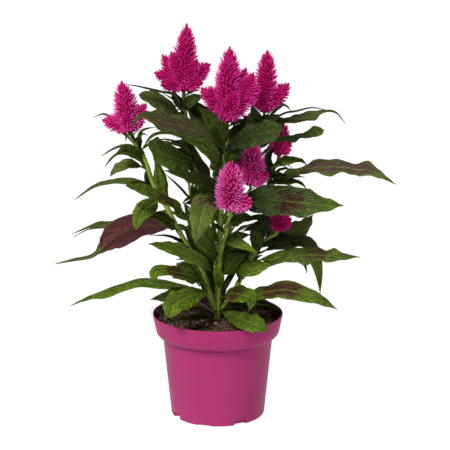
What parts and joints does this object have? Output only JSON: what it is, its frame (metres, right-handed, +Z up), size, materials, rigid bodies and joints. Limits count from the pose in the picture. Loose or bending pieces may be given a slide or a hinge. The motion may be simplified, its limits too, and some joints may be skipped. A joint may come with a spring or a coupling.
{
  "type": "potted plumed celosia",
  "caption": "Leafy pot plant with upright feathered flower spikes, narrow pointed leaves and a soil-filled tapered grow pot that stands on its flat foot.",
  "frame": {"origin": "centre of the pot's flat foot, on the pot's axis, at the face it stands on", "axes": "+Z up along the pot's axis, -Y towards the front of the plant, +X to the right seen from the front"},
  "size_m": [0.2994, 0.1826, 0.3626],
  "materials": {
    "pot": "satin",
    "soil": "matte",
    "stem": "satin",
    "leaf": "satin",
    "flower": "matte"
  },
  "bodies": {
    "root": {"pot": "pot", "soil": "soil", "main_stem": "stem", "left_stem": "stem", "right_stem": "stem", "upper_left_stem": "stem", "upper_right_stem": "stem", "middle_stem": "stem", "front_stem": "stem", "rear_right_stem": "stem", "back_stem": "stem", "back_left_stem": "stem", "flower_head_left": "flower", "flower_head_top": "flower", "flower_head_middle_tall": "flower", "flower_head_right": "flower", "flower_head_middle_low": "flower", "flower_head_front": "flower", "flower_head_right_behind": "flower", "flower_head_low_right": "flower", "flower_head_back": "flower", "leaf_left_folded": "leaf", "leaf_left_light": "leaf", "leaf_left_long": "leaf", "leaf_left_blunt": "leaf", "leaf_left_hanging": "leaf", "leaf_left_maroon": "leaf", "leaf_left_behind": "leaf", "leaf_left_middle": "leaf", "leaf_left_curled": "leaf", "leaf_low_left_long": "leaf", "leaf_low_left_front": "leaf", "leaf_centre_front": "leaf", "leaf_top_left_dark": "leaf", "leaf_top_left_brown": "leaf", "leaf_upper_left_arched": "leaf", "leaf_upper_left_broad": "leaf", "leaf_middle_left": "leaf", "leaf_top_right_thin": "leaf", "leaf_top_right_blunt": "leaf", "leaf_upper_right_broad": "leaf", "leaf_right_longest": "leaf", "leaf_right_big": "leaf", "leaf_right_grey": "leaf", "leaf_right_arching": "leaf", "leaf_right_wavy": "leaf", "leaf_low_right_long": "leaf", "leaf_low_right_curled": "leaf", "leaf_over_rim": "leaf", "leaf_back_low": "leaf", "leaf_back_left_low": "leaf", "leaf_back_left_middle": "leaf", "leaf_back_left_outer": "leaf", "leaf_back_left_inner": "leaf", "leaf_back_left_top": "leaf", "leaf_back_right_low": "leaf", "leaf_back_right_middle": "leaf", "leaf_back_right_outer": "leaf", "leaf_back_inner": "leaf", "leaf_back_right_top": "leaf"}
  },
  "joints": []
}
